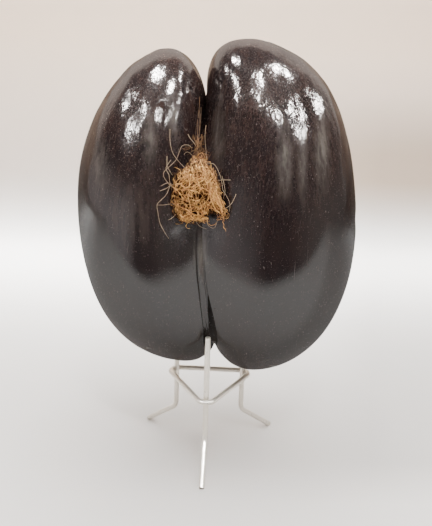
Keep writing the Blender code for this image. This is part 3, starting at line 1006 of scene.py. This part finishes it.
class CoconutTuft(bpy.types.Operator):
    """Builds the tuft of curly fibres, its core and the loose strays round it"""

    bl_idname = "coconut.tuft"
    bl_label = "Fibre Tuft"

    def execute(self, context):
        settings = context.scene.coconut_tuft
        tree = nut_tree()
        dice = random.Random(settings.seed)
        radius = settings.fibre_radius
        made = [tuft_fibre(dice, tree, radius * dice.uniform(0.65, 1.2)) for _ in range(settings.fibre_count)]
        fibre = fibre_material("husk_fibre", settings.fibre_light, settings.fibre_dark)
        tuft = tubes("tuft_fibres", [one for one in made if one], fibre)
        strays = []
        for lift, pixels in STRAYS:
            path = stray_path(lift, pixels, tree, radius)
            strays.append((path, radius * 0.5, [1.0] * len(path)))
        pale = fibre_material("stray_fibre", (0.54, 0.43, 0.29), (0.34, 0.24, 0.15))
        loose = tubes("tuft_strays", strays, pale, 5)
        thin = radius * 0.55
        roots = []
        for _ in range(SINUS_FIBRES):
            path = sinus_path(dice, tree, thin)
            roots.append((path, thin, [dice.uniform(0.25, 0.7)] * len(path)))
        roots += [neck_fibre(dice, tree, thin) for _ in range(NECK_FIBRES)]
        brown = fibre_material("root_fibre", (0.36, 0.20, 0.09), (0.08, 0.038, 0.017))
        root = tubes("tuft_roots", roots, brown)
        core = new_object("tuft_core", *core_mesh(tree), core_shade_material())
        for obj in (tuft, loose, root, core):
            to_origin(obj)
            smooth_shade(obj.data, 70.0)
            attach(obj, BODY)
        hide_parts("fibre_tuft")
        return {"FINISHED"}


class CoconutStand(bpy.types.Operator):
    """Gives the stand's wires their bright metal"""

    bl_idname = "coconut.stand"
    bl_label = "Wire Stand"

    def execute(self, context):
        metal = wire_material(context.scene.coconut_stand)
        for name in ("stand_ring", "stand_leg_front", "stand_leg_left", "stand_leg_right"):
            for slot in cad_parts[name].material_slots:
                slot.material = metal
        return {"FINISHED"}


def floor_profile():
    """Depth and height along the sweep from the table's front edge up the wall."""
    profile = [(y, 0.0) for y in (TABLE_FRONT, -0.2, 0.0, 0.4, TABLE_BACK)]
    for step in range(1, 13):
        turn = math.pi / 2 * step / 12
        profile.append((TABLE_BACK + CURVE * math.sin(turn), CURVE - CURVE * math.cos(turn)))
    return profile + [(TABLE_BACK + CURVE, WALL_TOP)]


def sweep_material(settings):
    """Pale table that turns into a warm wall and fades out at its front edge, with painted shade: a darker
    band low on the wall, a dimmer right side and a painted shadow under the nut.
    """
    material, kit, shader = new_surface("pale_sweep")
    place = kit.place()
    across, depth, high = (kit.axis(place, letter) for letter in "XYZ")
    mottle = kit.grain(place, 14.0, 4.0, 0.6)
    color = kit.blend(high.ramp(0.0, 0.55), settings.table, settings.wall)
    # Painted shade: a darker band low on the wall, stronger to the right
    band = high.ramp(0.01, 0.12) * (1.0 - high.ramp(0.20, 0.50)) * (0.35 + across.ramp(-0.2, 0.5) * 0.65)
    color = kit.blend(band, color, tuple(part * 0.62 for part in settings.wall))
    # Painted shade: the table dimmer to the right, and a painted shadow on the table under the nut
    aside = (across / (depth + 0.55)).ramp(0.10, 0.30)
    aside = aside * depth.ramp(-0.10, -0.04) * (1.0 - high.ramp(0.24, 0.40))
    middle = depth.ramp(-0.10, -0.05) * (1.0 - depth.ramp(0.06, 0.18)) * (1.0 - abs(across).ramp(0.05, 0.20))
    shade_and_mottle = (1.0 - aside * 0.26 - middle * 0.10) * (1.0 - mottle.ramp(0.35, 0.75) * 0.024)
    color = kit.add("ShaderNodeVectorMath", {"operation": "SCALE"}, {0: color, "Scale": shade_and_mottle})
    kit.feed_all(shader, {"Base Color": color, "Alpha": depth.ramp(-0.46, -0.34),
                          "Roughness": 0.62 + mottle * 0.1, "Specular IOR Level": 0.0})
    return material


def add_area(name, place, size, power, aim, spread=180.0):
    light = bpy.data.lights.new(name, "AREA")
    light.shape = "RECTANGLE"
    light.size, light.size_y = size
    light.energy = power
    light.spread = math.radians(spread)
    obj = linked(name, light)
    obj.location = place
    obj.rotation_mode = "QUATERNION"
    obj.rotation_quaternion = (Vector(aim) - Vector(place)).to_track_quat("-Z", "Y")
    return obj


def set_world():
    """Pale to the camera. Else a room: dim in front and above, paler left and bright behind."""
    world = bpy.data.worlds.new("room")
    bpy.context.scene.world = world
    kit = ShaderKit(world)
    shader = kit.tree.nodes["Background"]
    ray = kit.add("ShaderNodeLightPath", output="Is Camera Ray")
    place = kit.add("ShaderNodeTexCoord", output="Generated")
    across, back, high = (kit.axis(place, letter) for letter in "XYZ")
    low = 1.0 - high.ramp(0.02, 0.30)
    room = kit.blend((0.0 - across).ramp(0.30, 0.75) * low, (0.085, 0.068, 0.066), (0.56, 0.50, 0.49))
    room = kit.blend(across.ramp(0.45, 0.90) * low, room, (0.24, 0.21, 0.19))
    shine = kit.add("ShaderNodeLightPath", output="Is Glossy Ray")
    above = kit.blend(shine, (0.34, 0.31, 0.30), (0.17, 0.145, 0.145))
    room = kit.blend(high.ramp(0.45, 0.80), room, above)
    glow = kit.blend(high.ramp(0.05, 0.45), (0.72, 0.64, 0.58), (1.22, 1.11, 1.02))
    room = kit.blend(back.ramp(0.33, 0.49), room, kit.blend(shine, (0.62, 0.54, 0.48), glow))
    kit.feed(shader.inputs["Color"], kit.blend(ray, room, (0.70, 0.64, 0.58)))
    shader.inputs["Strength"].default_value = 3.0


class CoconutStudio(bpy.types.Operator):
    """Builds the table, the wall, the lights and the camera"""

    bl_idname = "coconut.studio"
    bl_label = "Studio"

    def execute(self, context):
        settings = context.scene.coconut_studio
        profile = floor_profile()
        points = [(side, y, z) for y, z in profile for side in (-TABLE_SIDE, TABLE_SIDE)]
        faces = [(2 * row, 2 * row + 1, 2 * row + 3, 2 * row + 2) for row in range(len(profile) - 1)]
        sweep = new_object("sweep", points, faces, sweep_material(settings))
        smooth_shade(sweep.data, 60.0)
        tuft = (TUFT_X, TUFT_Y, TUFT_Z)
        lights = (
            ("soft_light", (0.1, 0.1, 1.9), (2.6, 2.2), settings.soft_power, (0.0, 0.0, 0.0), 180.0),
            ("key_light", (0.05, -0.85, 1.45), (0.16, 0.16), settings.key_power, (0.0, 0.0, 0.0), 180.0),
            ("tuft_light", (0.12, -0.55, 0.90), (0.08, 0.08), settings.tuft_power, tuft, 16.0),
            ("table_wash", (-0.25, 0.70, 0.62), (3.4, 0.25), settings.wash_power, (-0.25, 0.70, 0.0), 86.0),
        )
        for light in lights:
            add_area(*light).visible_glossy = False
        for index, (x, y) in enumerate(NEAR_PANELS + FAR_PANELS):
            size, share = ((0.20, 0.14), 0.9) if index < len(NEAR_PANELS) else ((0.15, 0.12), 0.42)
            power = settings.panel_power * share
            panel = add_area(f"panel_{index}", (x, y, CEILING), size, power, (0.0, 0.0, 0.3))
            panel.visible_diffuse = False
        set_world()
        camera = bpy.data.cameras.new("camera")
        camera.sensor_width = 36.0
        camera.lens = FOCAL_PIXELS / IMAGE_HEIGHT * camera.sensor_width
        obj = linked("camera", camera)
        right, up, forward = camera_axes()
        turn = Matrix((right, up, -forward)).transposed().to_4x4()
        obj.matrix_world = Matrix.Translation(Vector(CAMERA_PLACE) - Vector(ORIGIN)) @ turn
        context.scene.camera = obj
        return {"FINISHED"}


class CoconutPanel(bpy.types.Panel):
    bl_idname = "VIEW3D_PT_coconut"
    bl_label = "Double Coconut"
    bl_space_type = "VIEW_3D"
    bl_region_type = "UI"
    bl_category = "Coconut"

    def draw(self, context):
        layout = self.layout
        for operator, group, name in PARTS:
            layout.operator(operator.bl_idname)
            for setting in group.__annotations__:
                layout.prop(getattr(context.scene, name), setting)


PARTS = (
    (CoconutNut, NutSettings, "coconut_nut"),
    (CoconutTuft, TuftSettings, "coconut_tuft"),
    (CoconutStand, StandSettings, "coconut_stand"),
    (CoconutStudio, StudioSettings, "coconut_studio"),
)


def register():
    for operator, group, name in PARTS:
        bpy.utils.register_class(group)
        setattr(bpy.types.Scene, name, bpy.props.PointerProperty(type=group))
        bpy.utils.register_class(operator)
    bpy.utils.register_class(CoconutPanel)


def unregister():
    bpy.utils.unregister_class(CoconutPanel)
    for operator, group, name in reversed(PARTS):
        bpy.utils.unregister_class(operator)
        delattr(bpy.types.Scene, name)
        bpy.utils.unregister_class(group)


def main():
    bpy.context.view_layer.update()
    register()
    bpy.ops.coconut.nut()
    bpy.ops.coconut.tuft()
    bpy.ops.coconut.stand()
    bpy.ops.coconut.studio()


if __name__ == "__main__":
    main()
